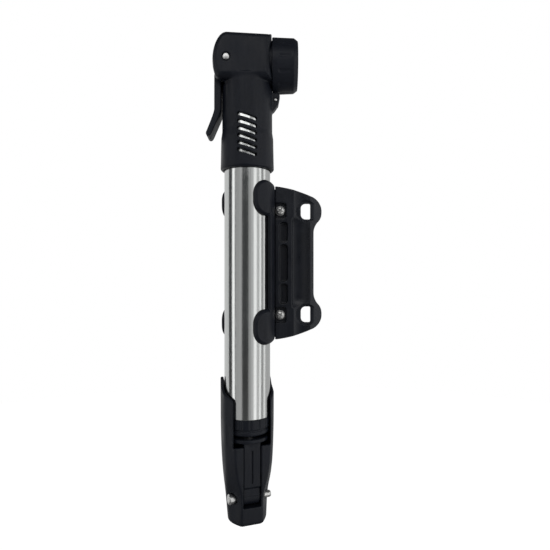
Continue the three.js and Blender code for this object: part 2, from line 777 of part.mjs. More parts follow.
function handleShell() {
  const skin = solid(lofted(handleStations.map((station) => handleRing(station, 0))));
  const upperStations = handleStations.filter(([height]) => height >= 16);
  const hollowStations = [[12.5, 12.5, 6.4, 10.5, 11.6], ...upperStations];
  const hollow = solid(lofted(hollowStations.map((station) => handleRing(station, 2.1))))
    .add(solid(block(-12, 12, -8, 12, armTop, armTop + 2)));
  const clevis = solid(lofted(handleStations.filter(([height]) => height >= 1 && height <= 28)
    .map((station) => handleRing(station, 1))))
    .subtract(solid(block(-tongueHalf - 0.3, tongueHalf + 0.3, -20, 20, handleBottom + 11.3, 0)));
  const barrelSpace = solid(rod(armInner, wallTop, armTop + 10, 44))
    .add(solid(block(-armInner, armInner, -30, 0, wallTop, armTop + 10)));
  const slot = solid(block(-tongueHalf - 0.3, tongueHalf + 0.3, -30, -4, handleBottom + 11.3, 0));
  const tongueSpace = solid(block(-tongueHalf - 0.3, tongueHalf + 0.3, -8, 8, handleBottom + 11.3, wallTop));

  // Side profile of the arms: the front edge runs back to a rounded tip, and the back dips between them.
  const armEdge = -6.3; // the arms stop here, where their wall gets thin
  const trim = new THREE.Shape();
  trim.moveTo(-30, wallTop + 0.6);
  trim.lineTo(armEdge - 1, wallTop + 0.6);
  trim.lineTo(armEdge, wallTop + 2);
  trim.lineTo(armEdge, handleBottom + 74);
  trim.bezierCurveTo(-5.8, handleBottom + 77, -2, handleBottom + 78, 0.5, handleBottom + 82);
  trim.bezierCurveTo(1.5, handleBottom + 84, 2, handleBottom + 86.5, 3.5, handleBottom + 87.6);
  trim.bezierCurveTo(6, handleBottom + 88.6, 8, handleBottom + 82, 18, handleBottom + 78);
  trim.lineTo(30, handleBottom + 78);
  trim.lineTo(30, handleBottom + 110);
  trim.lineTo(-30, handleBottom + 110);
  trim.closePath();

  const headRecess = solid(turnedX([
    [0, -20],
    [3.55, -20],
    [3.55, -12],
    [2.85, -9.6],
    [2.35, -8.5],
    [0, -8.5],
  ], 24).translate(0, -pivotForward, pivotZ));
  const pinHole = solid(rodX(2.35, -20, 20, 20).translate(0, -pivotForward, pivotZ));
  const shell = skin.subtract(hollow).add(clevis.intersect(skin));
  return cut(shell, barrelSpace, slot, tongueSpace, solid(alongX(trim, -30, 30, 6)), headRecess, pinHole);
}

// The pivot pin: a bullet-shaped head on one side and a domed end on the other.
function handlePin() {
  return turnedX([
    [0, -13.6],
    [2.4, -13.5],
    [3.1, -13],
    [3.2, -12.2],
    [3, -11],
    [2.5, -9.6],
    [2.05, -8.8],
    [2.05, 12.4],
    [1.6, 13.2],
    [0, 13.5],
  ], 20).translate(0, -pivotForward, pivotZ);
}

// ---------------------------------------------------------------- assembly
const pump = new THREE.Group();

pump.add(named('clip', clip(), blackPlastic));
pump.add(named('mount_plate', mountPlate(), blackPlastic));
[['upper', screwZ], ['lower', -screwZ]].forEach(([place, z]) => {
  const fastening = new THREE.Group();
  fastening.position.set(screwX, 0, z);
  fastening.add(named(`bracket_washer_${place}`, bracketWasher(), steel));
  fastening.add(named(`bracket_screw_${place}`, bracketScrew(), steel));
  fastening.add(named(`bracket_nut_${place}`, bracketNut(), steel));
  pump.add(fastening);
});

pump.add(named('barrel_tube', barrelTube(), barrelAluminium));
pump.add(named('end_cap', endCap(), blackPlastic));
pump.add(named('rod_bush', rodBush(), whitePlastic));
pump.add(named('head_housing', headHousing(), blackPlastic));
pump.add(named('barrel_plug', barrelPlug(), blackPlastic));
pump.add(named('plug_o_ring', seal(barrelInner - 2, barrelInner - 0.1, barrelTop - 5), rubber));
pump.add(named('check_valve', checkValve(), rubber));
pump.add(named('lever_pin', leverPin(), steel));
pump.add(named('lug_rivet', lugRivet(), steel));
pump.add(named('valve_gasket', valveGasket(), rubber));

pump.add(named('nozzle_collar', nozzleCollar(), blackPlastic));
pump.add(named('lock_plunger', lockPlunger(), whitePlastic));
pump.add(named('plunger_o_ring', plungerRing(), rubber));
pump.add(named('thumb_lever', thumbLever(), blackPlastic));

pump.add(named('piston_rod', pistonRod(), steel));
pump.add(named('piston', piston(), whitePlastic));
pump.add(named('piston_seal', seal(barrelInner - gap - 2.2, barrelInner - 0.1, pistonBottom + 5), rubber));
pump.add(named('piston_screw', pistonScrew(), steel));

const grip = new THREE.Group();
grip.rotation.z = handleYaw;
grip.add(named('rod_end', rodEnd(), blackPlastic));
grip.add(named('handle_shell', handleShell(), blackPlastic));
grip.add(named('handle_pin', handlePin(), steel));
pump.add(grip);

pump.position.set(-slotX, -padY, 0);

const group = new THREE.Group();
group.add(pump);

export default group;
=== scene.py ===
"""The looks of a bicycle mini pump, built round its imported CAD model.

Shapes are worked out in millimetres from the barrel's axis, with z as in the frame, and become the frame's
metres when a mesh is made. Moulded pieces are fields of distances, positive outside the material. They are
joined and cut with small fillets, and then skinned. Turned pieces are spun from a profile.
"""
import json
import math

import bpy
import numpy as np
import openvdb
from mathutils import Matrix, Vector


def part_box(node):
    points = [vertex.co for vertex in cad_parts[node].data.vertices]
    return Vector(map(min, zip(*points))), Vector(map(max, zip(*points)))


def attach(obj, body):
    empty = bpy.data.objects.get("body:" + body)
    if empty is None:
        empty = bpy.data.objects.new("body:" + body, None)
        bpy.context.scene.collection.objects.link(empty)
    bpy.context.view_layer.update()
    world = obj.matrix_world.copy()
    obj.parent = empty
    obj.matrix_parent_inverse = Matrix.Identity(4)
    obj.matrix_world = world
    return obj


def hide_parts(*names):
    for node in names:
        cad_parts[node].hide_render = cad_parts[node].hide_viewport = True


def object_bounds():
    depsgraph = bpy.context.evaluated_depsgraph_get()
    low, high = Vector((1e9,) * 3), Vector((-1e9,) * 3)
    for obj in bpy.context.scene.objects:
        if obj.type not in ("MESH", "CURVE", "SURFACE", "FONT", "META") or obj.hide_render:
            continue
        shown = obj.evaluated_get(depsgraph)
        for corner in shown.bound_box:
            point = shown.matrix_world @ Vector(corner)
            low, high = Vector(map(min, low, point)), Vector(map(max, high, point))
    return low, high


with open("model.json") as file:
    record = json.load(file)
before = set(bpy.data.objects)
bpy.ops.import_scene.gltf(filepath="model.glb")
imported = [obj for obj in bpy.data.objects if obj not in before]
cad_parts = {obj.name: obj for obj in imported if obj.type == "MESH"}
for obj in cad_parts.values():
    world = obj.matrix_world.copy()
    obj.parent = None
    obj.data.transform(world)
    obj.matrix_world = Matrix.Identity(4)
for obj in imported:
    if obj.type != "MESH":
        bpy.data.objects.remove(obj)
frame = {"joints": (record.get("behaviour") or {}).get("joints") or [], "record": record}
cad_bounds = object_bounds()
record = frame["record"]


# ---------------------------------------------------------------- sizes from the frame
def box_mm(node):
    """A CAD node's lowest and highest corner in the frame, in millimetres."""
    low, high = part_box(node)
    return np.array(low) * 1000, np.array(high) * 1000


tube_low, tube_high = box_mm("barrel_tube")
AXIS = np.array([(tube_low[0] + tube_high[0]) / 2, (tube_low[1] + tube_high[1]) / 2, 0.0])


def corners(node):
    """A CAD node's lowest and highest corner, measured from the barrel's axis."""
    low, high = box_mm(node)
    return low - AXIS, high - AXIS


def centre(node):
    low, high = corners(node)
    return (low + high) / 2


GAP = 0.3  # between pieces that touch
BARREL_RADIUS = (tube_high[0] - tube_low[0]) / 2
BARREL_INNER = BARREL_RADIUS - 1.4
BARREL_BOTTOM, BARREL_TOP = tube_low[2], tube_high[2]
head_low, head_high = corners("head_housing")
RIM = head_low[2]
SLEEVE_RADIUS = head_high[1]
NOSE_END = head_high[0]
BLOCK_FRONT = 15.0
REGISTER_RADIUS = 14.3  # a low disc on the head that the collar's back fits over
HEAD_REAR = head_low[0]
PIN_X, _, OUTLET = centre("lever_pin")
RIVET_X, _, RIVET_Z = centre("lug_rivet")
CAP_BOTTOM = corners("end_cap")[0][2]
CAP_TOP = BARREL_BOTTOM - GAP
DISC_TOP = corners("rod_end")[1][2]
DISC_BOTTOM = DISC_TOP - 2.4
HANDLE_BOTTOM = corners("handle_shell")[0][2]
PIVOT = centre("handle_pin")[2]
PIVOT_FORWARD = 5.0
SLOT_X, PAD_Y = -AXIS[0], -AXIS[1]
BOSS_Z = 32.0
plate_low, plate_high = corners("mount_plate")
ARM_LEFT, PLATE_TIP = plate_low[0], plate_high[0]
ARM_FRONT, ARM_BACK = 2.0, plate_high[1]
SCREW_X, _, SCREW_Z = centre("bracket_screw_upper")
BAND_TOP = corners("clip")[1][2]

fold_axis = next(joint["axis"] for joint in frame["joints"] if joint["name"] == "handle_fold")
HANDLE_YAW = math.atan2(-fold_axis[1], -fold_axis[0])
SLOT_OF = {part["node"]: part["material_slot"] for part in record["subparts"]}
BODY_OF = {node: body for body, nodes in record["behaviour"]["bodies"].items() for node in nodes}


# ---------------------------------------------------------------- fields of distances
class Grid:
    """Evenly spaced sample points round a piece."""

    def __init__(self, low, high, pitch):
        margin = 3 * pitch
        self.pitch = pitch
        self.low = np.array(low, float) - margin
        counts = np.ceil((np.array(high, float) + margin - self.low) / pitch).astype(int) + 1
        steps = [(self.low[i] + pitch * np.arange(counts[i])).astype(np.float32) for i in range(3)]
        self.x = steps[0][:, None, None]
        self.y = steps[1][None, :, None]
        self.z = steps[2][None, None, :]
        self.shape = tuple(counts)

    def skin(self, field):
        """Points and faces of the surface where the field is zero."""
        volume = openvdb.FloatGrid()
        volume.copyFromArray(np.broadcast_to(field, self.shape).astype(np.float32))
        points, quads = volume.convertToQuads(0.0)
        return np.array(points) * self.pitch + self.low, np.array(quads)[:, ::-1].astype(np.int32)


def slab(value, low, high):
    """Distance from the space between two parallel planes."""
    return np.abs(value - (low + high) / 2) - (high - low) / 2


def rounded(radius, *parts):
    """Where all the parts overlap, with rounded edges. The parts stand square to each other."""
    outside = np.sqrt(sum(np.maximum(part + radius, 0) ** 2 for part in parts))
    inside = parts[0]
    for part in parts[1:]:
        inside = np.maximum(inside, part)
    return outside + np.minimum(inside + radius, 0) - radius


def joined(first, second, fillet=0.0):
    """Two bodies as one, with a fillet of about that size where they meet."""
    lowest = np.minimum(first, second)
    if not fillet:
        return lowest
    near = np.maximum(fillet - np.abs(first - second), 0)
    return lowest - near * near / (4 * fillet)


def cut(body, *tools, fillet=0.4):
    """The body with the tools taken out of it, and the new edges softened."""
    for tool in tools:
        body = -joined(-body, tool, fillet)
    return body


def curve(*controls, steps=10):
    """Points along a Bezier curve, without its last point."""
    points = []
    for step in range(steps):
        share = step / steps
        level = [np.array(control, float) for control in controls]
        while len(level) > 1:
            level = [a + (b - a) * share for a, b in zip(level, level[1:])]
        points.append((float(level[0][0]), float(level[0][1])))
    return points


def arc(x, y, radius, start, end, steps=12):
    """Points along an arc, its angles in radians."""
    angles = [start + (end - start) * step / steps for step in range(steps + 1)]
    return [(x + radius * math.cos(angle), y + radius * math.sin(angle)) for angle in angles]


def outline(u, v, points):
    """Distance in the plane of u and v from a closed outline, negative inside."""
    nearest = np.float32(1e9)
    inside = np.zeros(np.broadcast(u, v).shape, bool)
    for (u0, v0), (u1, v1) in zip(points, points[1:] + points[:1]):
        du, dv = u1 - u0, v1 - v0
        along = np.clip(((u - u0) * du + (v - v0) * dv) / (du * du + dv * dv), 0, 1)
        nearest = np.minimum(nearest, (u - u0 - along * du) ** 2 + (v - v0 - along * dv) ** 2)
        if dv:
            inside ^= ((v0 > v) != (v1 > v)) & (u < u0 + (v - v0) * du / dv)
    return np.where(inside, -1, 1).astype(np.float32) * np.sqrt(nearest)


def turned(radius, along, profile):
    """A field turned about an axis. The profile's points are (radius, place along the axis)."""
    step = 0.1
    beyond_axis = -30.0
    radii = np.arange(0, radius.max() + 2 * step, step, dtype=np.float32)
    places = along.ravel()
    closed = [(r if r > 0 else beyond_axis, place) for r, place in profile]
    table = outline(radii[:, None], places[None, :], closed)
    row = (radius / step).astype(int)
    share = radius / step - row
    column = np.arange(places.size).reshape(along.shape)
    return table[row, column] * (1 - share) + table[row + 1, column] * share


def cylinder(radius, size, along, low, high, edge=0.0):
    """A cylinder of radius size, from low to high along its axis."""
    return rounded(edge, radius - size, slab(along, low, high))


# ---------------------------------------------------------------- meshes
def add_piece(node, points, faces, material, yaw=0.0):
    """A finished mesh in place of a CAD node. It rides on the node's body."""
    turn = np.array([
        [math.cos(yaw), -math.sin(yaw), 0],
        [math.sin(yaw), math.cos(yaw), 0],
        [0, 0, 1],
    ])
    placed = (points @ turn.T + AXIS) / 1000
    mesh = bpy.data.meshes.new(node + "_fine")
    corner_count = faces.shape[1]
    mesh.vertices.add(len(placed))
    mesh.vertices.foreach_set("co", placed.astype(np.float32).ravel())
    mesh.loops.add(faces.size)
    mesh.loops.foreach_set("vertex_index", faces.ravel())
    mesh.polygons.add(len(faces))
    mesh.polygons.foreach_set("loop_start", np.arange(0, faces.size, corner_count))
    mesh.update(calc_edges=True)
    mesh.validate()
    mesh.shade_smooth()
    mesh.materials.append(material)
    piece = bpy.data.objects.new(node + "_fine", mesh)
    bpy.context.scene.collection.objects.link(piece)
    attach(piece, BODY_OF[node])
    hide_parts(node)
    return piece


def eased(profile, radius, steps=4):
    """A closed profile with each corner off the axis rounded."""
    points = []
    count = len(profile)
    for i, corner in enumerate(profile):
        corner = np.array(corner, float)
        before = np.array(profile[i - 1], float) - corner
        after = np.array(profile[(i + 1) % count], float) - corner
        if corner[0] < 1e-6:
            points.append(corner)
            continue
        reach = min(radius, np.linalg.norm(before) * 0.45, np.linalg.norm(after) * 0.45)
        start = corner + before / np.linalg.norm(before) * reach
        end = corner + after / np.linalg.norm(after) * reach
        for step in range(steps + 1):
            share = step / steps
            first = start + (corner - start) * share
            second = corner + (end - corner) * share
            points.append(first + (second - first) * share)
    return points


def spun(profile, axis="z", ease=0.25, segments=96, offset=(0, 0, 0)):
    """Points and faces of a closed profile turned about an axis through offset, going up the outside."""
    order = {"z": [0, 1, 2], "x": [2, 0, 1], "y": [1, 2, 0]}[axis]
    angles = 2 * math.pi * np.arange(segments) / segments
    points, levels = [], []
    for radius, place in eased(profile, ease):
        count = segments if radius > 1e-6 else 1
        turn = angles[:count]
        flat = np.stack([radius * np.cos(turn), radius * np.sin(turn), np.full(count, place)], axis=1)
        levels.append([len(points) + i % count for i in range(segments)])
        points.extend(flat[:, order] + offset)
    faces = []
    for lower, upper in zip(levels, levels[1:] + levels[:1]):
        for i in range(segments):
            j = (i + 1) % segments
            if lower[i] != lower[j]:
                faces.append((lower[i], lower[j], upper[j]))
            if upper[i] != upper[j]:
                faces.append((lower[i], upper[j], upper[i]))
    return np.array(points), np.array(faces, np.int32)


# ---------------------------------------------------------------- materials
class Shader:
    """A material whose Principled shader is fed by nodes in the object's own coordinates."""

    def __init__(self, name):
        self.material = bpy.data.materials.new(name)
        self.material.use_nodes = True
        self.tree = self.material.node_tree
        self.surface = self.tree.nodes["Principled BSDF"]
        self.place = self.tree.nodes.new("ShaderNodeTexCoord").outputs["Object"]

    def stretched(self, x, y, z):
        mapping = self.tree.nodes.new("ShaderNodeMapping")
        mapping.inputs["Scale"].default_value = (x, y, z)
        self.tree.links.new(self.place, mapping.inputs["Vector"])
        return mapping.outputs["Vector"]

    def noise(self, scale, detail=3.0, roughness=0.5, place=None):
        texture = self.tree.nodes.new("ShaderNodeTexNoise")
        texture.inputs["Scale"].default_value = scale
        texture.inputs["Detail"].default_value = detail
        texture.inputs["Roughness"].default_value = roughness
        self.tree.links.new(place or self.place, texture.inputs["Vector"])
        return texture.outputs["Fac"]

    def spread(self, value, low, high, near=0.35, far=0.65):
        """value, from near to far, spread over low to high."""
        spread = self.tree.nodes.new("ShaderNodeMapRange")
        spread.inputs["From Min"].default_value = near
        spread.inputs["From Max"].default_value = far
        spread.inputs["To Min"].default_value = low
        spread.inputs["To Max"].default_value = high
        self.tree.links.new(value, spread.inputs["Value"])
        return spread.outputs["Result"]

    def tint(self, value, *stops):
        """A colour ramp over value. Each stop is (place, colour)."""
        ramp = self.tree.nodes.new("ShaderNodeValToRGB")
        while len(ramp.color_ramp.elements) < len(stops):
            ramp.color_ramp.elements.new(0.5)
        for element, (place, colour) in zip(ramp.color_ramp.elements, stops):
            element.position = place
            element.color = (*colour, 1)
        self.tree.links.new(value, ramp.inputs["Fac"])
        return ramp.outputs["Color"]

    def total(self, first, second, share=1.0):
        """first plus share of second."""
        add = self.tree.nodes.new("ShaderNodeMath")
        add.operation = "MULTIPLY_ADD"
        self.tree.links.new(second, add.inputs[0])
        add.inputs[1].default_value = share
        self.tree.links.new(first, add.inputs[2])
        return add.outputs["Value"]

    def feed(self, socket, output):
        self.tree.links.new(output, self.surface.inputs[socket])

    def bump(self, height, depth):
        """Relief of that height field. depth is in metres."""
        bump = self.tree.nodes.new("ShaderNodeBump")
        bump.inputs["Distance"].default_value = depth
        self.tree.links.new(height, bump.inputs["Height"])
        self.tree.links.new(bump.outputs["Normal"], self.surface.inputs["Normal"])


def black_plastic(name, gloss_low, gloss_high, level):
    """Moulded nylon: a faint grain, slow changes of gloss and a few rubbed lines."""
    shader = Shader(name)
    cloud = shader.noise(90, detail=4)
    grain = shader.noise(2600, detail=2)
    rub = shader.noise(700, detail=2, place=shader.stretched(1, 1, 0.12))
    dark, pale = (0.0090, 0.0110, 0.0172), (0.0145, 0.0175, 0.0260)
    shader.feed("Base Color", shader.tint(cloud, (0.3, dark), (0.7, pale)))
    gloss = shader.spread(cloud, gloss_low, gloss_high)
    shader.feed("Roughness", shader.total(gloss, shader.spread(rub, -0.05, 0.05), 1.0))
    shader.surface.inputs["Specular IOR Level"].default_value = level
    shader.bump(shader.total(grain, cloud, 0.6), 0.00003)
    return shader.material


def brushed_aluminium():
    """Drawn, clear anodised tube: fine lines along z and faint bands of tone."""
    shader = Shader("barrel_aluminium")
    lines = shader.noise(1, detail=3, roughness=0.6, place=shader.stretched(2600, 2600, 26))
    bands = shader.noise(1, detail=2, place=shader.stretched(420, 420, 3))
    mottle = shader.noise(160, detail=4)
    shader.feed("Base Color", shader.tint(bands, (0.3, (0.63, 0.645, 0.635)), (0.7, (0.74, 0.75, 0.74))))
    gloss = shader.spread(lines, 0.13, 0.19)
    shader.feed("Roughness", shader.total(gloss, shader.spread(mottle, -0.015, 0.02), 1.0))
    shader.surface.inputs["Metallic"].default_value = 1.0
    shader.bump(shader.total(lines, mottle, 0.3), 0.000002)
    return shader.material


def polished_aluminium():
    shader = Shader("rod_aluminium")
    lines = shader.noise(1, detail=3, place=shader.stretched(60, 60, 3200))
    mottle = shader.noise(220, detail=3)
    shader.feed("Base Color", shader.tint(mottle, (0.3, (0.66, 0.66, 0.66)), (0.7, (0.76, 0.76, 0.755))))
    shader.feed("Roughness", shader.spread(lines, 0.12, 0.24))
    shader.surface.inputs["Metallic"].default_value = 1.0
    shader.bump(lines, 0.000003)
    return shader.material


def plated_steel():
    """Zinc plate: bright, a little uneven, with turning marks."""
    shader = Shader("plated_steel")
    mottle = shader.noise(500, detail=4)
    marks = shader.noise(3200, detail=2)
    shader.feed("Base Color", shader.tint(mottle, (0.3, (0.60, 0.60, 0.585)), (0.7, (0.78, 0.78, 0.765))))
    shader.feed("Roughness", shader.spread(mottle, 0.24, 0.38))
    shader.surface.inputs["Metallic"].default_value = 1.0
    shader.bump(shader.total(marks, mottle, 1.0), 0.000012)
    return shader.material


def rubber():
    shader = Shader("rubber")
    grain = shader.noise(3000, detail=3)
    cloud = shader.noise(200, detail=3)
    shader.feed("Base Color", shader.tint(cloud, (0.3, (0.012, 0.012, 0.012)), (0.7, (0.022, 0.022, 0.022))))
    shader.feed("Roughness", shader.spread(grain, 0.68, 0.85))
    shader.bump(grain, 0.00004)
    return shader.material


def natural_nylon():
    shader = Shader("natural_nylon")
    cloud = shader.noise(150, detail=3)
    grain = shader.noise(2500, detail=2)
    shader.feed("Base Color", shader.tint(cloud, (0.3, (0.72, 0.70, 0.63)), (0.7, (0.82, 0.80, 0.74))))
    shader.feed("Roughness", shader.spread(cloud, 0.42, 0.55))
    shader.surface.inputs["Subsurface Weight"].default_value = 0.1
    shader.surface.inputs["Subsurface Radius"].default_value = (0.001, 0.001, 0.0008)
    shader.bump(grain, 0.00002)
    return shader.material


FINISH = {
    "black_plastic": black_plastic("black_plastic", 0.36, 0.48, 0.26),
    "barrel_aluminium": brushed_aluminium(),
    "rod_aluminium": polished_aluminium(),
    "plated_steel": plated_steel(),
    "rubber": rubber(),
    "natural_nylon": natural_nylon(),
}

# The bracket's plate is glossier than the other mouldings.
GLOSSY_PLASTIC = black_plastic("glossy_plastic", 0.30, 0.38, 0.42)


def show(node, points, faces, yaw=0.0):
    finish = GLOSSY_PLASTIC if node == "mount_plate" else FINISH[SLOT_OF[node]]
    return add_piece(node, points, faces, finish, yaw)


# ---------------------------------------------------------------- head
def head_side(z):
    """Side outline of the head block: straight front, rear rounded about the lever's pin."""
    front, shoulder, foot = BLOCK_FRONT, z + 15.5, z - 12.2
    return [
        (front, foot),
        (front, z + 14),
        *curve((-11.5, shoulder), (-16.5, shoulder), (HEAD_REAR + 0.1, z + 7.5), (HEAD_REAR, z), steps=14),
        *curve((HEAD_REAR, z), (HEAD_REAR, z - 4), (-19.5, z - 7), (-18.6, z - 9.4), steps=6),
        *curve((-18.6, z - 9.4), (-18, z - 11.4), (-16.5, foot), (-14.5, foot), steps=6),
    ]


def vents(x, y, z):
    """Six slanted slots through the front of the sleeve."""
    first, pitch, slant, shift = 64.6, 4.22, 0.29, 0.6
    half_length, half_height = 6.1, 1.0
    field = np.float32(1e9)
    for i in range(6):
        height = z - first - pitch * i
        along = (x - shift) * math.cos(slant) - height * math.sin(slant)
        across = (x - shift) * math.sin(slant) + height * math.cos(slant)
        slot = np.hypot(np.maximum(np.abs(along) - half_length + half_height, 0), across) - half_height
        field = np.minimum(field, slot)
    return np.maximum(field, y + 8)


def head_housing():
    block_half, lever_half, ceiling = 15.0, 6.9, 91.6
    grid = Grid((HEAD_REAR, -SLEEVE_RADIUS, RIM), (NOSE_END, SLEEVE_RADIUS, head_high[2]), 0.32)
    x, y, z = grid.x, grid.y, grid.z
    radius = np.hypot(x, y)
    outlet = np.hypot(y, z - OUTLET)

    neck = turned(radius, z, [
        (0, RIM),
        (SLEEVE_RADIUS - 0.8, RIM),
        (SLEEVE_RADIUS, RIM + 0.9),
        (SLEEVE_RADIUS - 0.1, RIM + 4),
        (15.9, 75.5),
        (15.3, 79.5),
        (15.2, OUTLET - 9),
        (0, OUTLET - 9),
    ])
    neck = np.maximum(neck, -np.maximum(BLOCK_FRONT - x, OUTLET - 16.8 - z))
    block = rounded(3.6, outline(x, z, head_side(OUTLET)), slab(y, -block_half, block_half))
    nose = cylinder(outlet, 10.9, x, BLOCK_FRONT - 1, NOSE_END, 0.6)
    lug = rounded(0.7, outline(x, z - OUTLET, [
        (9.5, -13),
        (BLOCK_FRONT - 0.2, -13),
        (BLOCK_FRONT, -16.8),
        (19.2, -17),
        (20, -18.6),
        (19, -24),
        (16.4, -27.6),
        (13.2, -29.9),
        (9.5, -29.9),
    ]), slab(y, -3.2, 3.2))
    body = joined(neck, block, 1.2)
    body = joined(body, lug, 1.0)
    register = cylinder(outlet, REGISTER_RADIUS, x, BLOCK_FRONT - 1, BLOCK_FRONT + 0.9, 0.2)
    body = np.minimum(np.minimum(body, nose), register)

    bore = cylinder(radius, BARREL_RADIUS + GAP, z, RIM - 9, ceiling)
    channel = cylinder(radius, 2.2, z, ceiling - 1, OUTLET)
    chamber = cylinder(outlet, 7.0, x, 1.6, NOSE_END + 9)
    guide = cylinder(outlet, 4.6, x, -6, 2)
    slot = rounded(
        0.6,
        slab(x, HEAD_REAR - 9, -4),
        slab(y, -lever_half - 0.4, lever_half + 0.4),
        slab(z, OUTLET - 13.4, OUTLET + 8.8),
    )
    pin_hole = np.hypot(x - PIN_X, z - OUTLET) - 2.4
    rivet_hole = np.maximum(np.hypot(x - RIVET_X, z - RIVET_Z) - 1.15, np.abs(y) - 9)
    body = cut(body, bore, channel, chamber, guide, slot, pin_hole, fillet=0.5)
    core = rounded(3.6, slab(y, -block_half + 0.5, block_half - 0.5), slab(z, OUTLET - 20, OUTLET + 14.3))
    seam = np.maximum(np.maximum(np.abs(x - BLOCK_FRONT + 1.8) - 0.35, -core), OUTLET - 11.8 - z)
    body = cut(body, rivet_hole, seam, fillet=0.25)
    body = cut(body, vents(x, y, z), fillet=0.2)
    show("head_housing", *grid.skin(body))


def nozzle_collar():
    low, high = corners("nozzle_collar")
    back, front, radius = low[0], high[0], high[1]
    grid = Grid(low, high, 0.3)
    outlet = np.hypot(grid.y, grid.z - OUTLET)
    register = REGISTER_RADIUS + GAP
    body = turned(outlet, grid.x, [
        (11.3, back + 1.0),
        (register, back + 1.0),
        (register, back),
        (radius - 0.3, back),
        (radius, back + 0.4),
        (radius - 0.5, front - 2.4),
        (radius - 2.2, front),
        (7.6, front),
        (6.4, front - 1),
        (6.4, NOSE_END + 2.4),
        (11.3, NOSE_END + 2.4),
    ])
    count = 12
    angle = np.arctan2(grid.y, grid.z - OUTLET)
    sector = 2 * math.pi / count
    nearest = (angle + sector / 2) % sector - sector / 2
    ridge = np.hypot(outlet * np.sin(nearest), outlet * np.cos(nearest) - radius - 0.9) - 1.45
    grooves = rounded(0.6, ridge, slab(grid.x, back + 4, front - 4))
    body = cut(body, grooves, fillet=0.6)
    show("nozzle_collar", *grid.skin(body))


def thumb_lever():
    low, high = corners("thumb_lever")
    grid = Grid(low, high, 0.25)
    x, y, z = grid.x, grid.y, grid.z
    h = OUTLET
    arm = [
        (PIN_X - 2, h - 4),
        (-15.5, h - 7.5),
        *curve((-15.5, h - 27), (-15.6, h - 30), (-17, h - 33), steps=5),
        (-17, h - 33),
        *curve((-21.2, h - 42.6), (-22.3, h - 44.8), (-24.0, h - 43.9), steps=6),
        *curve((-24.0, h - 43.9), (-25.0, h - 43.0), (-24.5, h - 41.4), steps=6),
        *curve((-24.6, h - 41.8), (-20.6, h - 32), (-19.6, h - 29.4), (-19.6, h - 27), steps=9),
        *curve((-19.6, h - 8), (-19.3, h - 3), (PIN_X - 4, h + 1.5), steps=8),
        (PIN_X - 4, h + 1.5),
    ]
    width = slab(y, low[1], high[1])
    blade = rounded(0.9, outline(x, z, arm), width)
    cam = rounded(0.7, np.hypot(x - PIN_X, z - h - 1.5) - 5.8, width)
    body = joined(blade, cam, 1.0)
    body = cut(body, np.hypot(x - PIN_X, z - h) - 2.4)
    show("thumb_lever", *grid.skin(body))


def head_pieces():
    head_housing()
    nozzle_collar()
    thumb_lever()
    pin_half = corners("lever_pin")[1][1]
    show("lever_pin", *spun([
        (0, -pin_half),
        (1.75, -pin_half + 0.15),
        (2.15, -pin_half + 0.75),
        (2.15, pin_half - 0.75),
        (1.75, pin_half - 0.15),
        (0, pin_half),
    ], "y", segments=64, offset=(PIN_X, 0, OUTLET)))
    rivet_half = corners("lug_rivet")[1][1]
    show("lug_rivet", *spun([
        (0, -rivet_half),
        (0.85, -rivet_half + 0.25),
        (0.85, rivet_half - 0.25),
        (0, rivet_half),
    ], "y", 0.15, 48, (RIVET_X, 0, RIVET_Z)))
    show("valve_gasket", *spun([
        (4.2, 13.4),
        (6.7, 13.4),
        (6.7, NOSE_END + GAP),
        (9.6, NOSE_END + GAP),
        (9.6, NOSE_END + 2),
        (5.2, NOSE_END + 2),
        (4.2, NOSE_END + 1),
    ], "x", 0.3, 96, (0, 0, OUTLET)))
    show("lock_plunger", *spun([
        (0, -5.4),
        (4.3, -5.4),
        (4.3, 2.2),
        (6.7, 2.2),
        (6.7, 5),
        (5.2, 5),
        (5.2, 7.4),
        (6.7, 7.4),
        (6.7, 11.2),
        (3.6, 11.2),
        (1.2, 15),
        (0, 15),
    ], "x", 0.25, 72, (0, 0, OUTLET)))


# ---------------------------------------------------------------- barrel, cap and what is inside
def seal_profile(groove, outer, place):
    return [
        (groove + GAP, place - 0.7),
        (outer - 0.3, place - 0.9),
        (outer, place),
        (outer - 0.3, place + 0.9),
        (groove + GAP, place + 0.7),
    ]


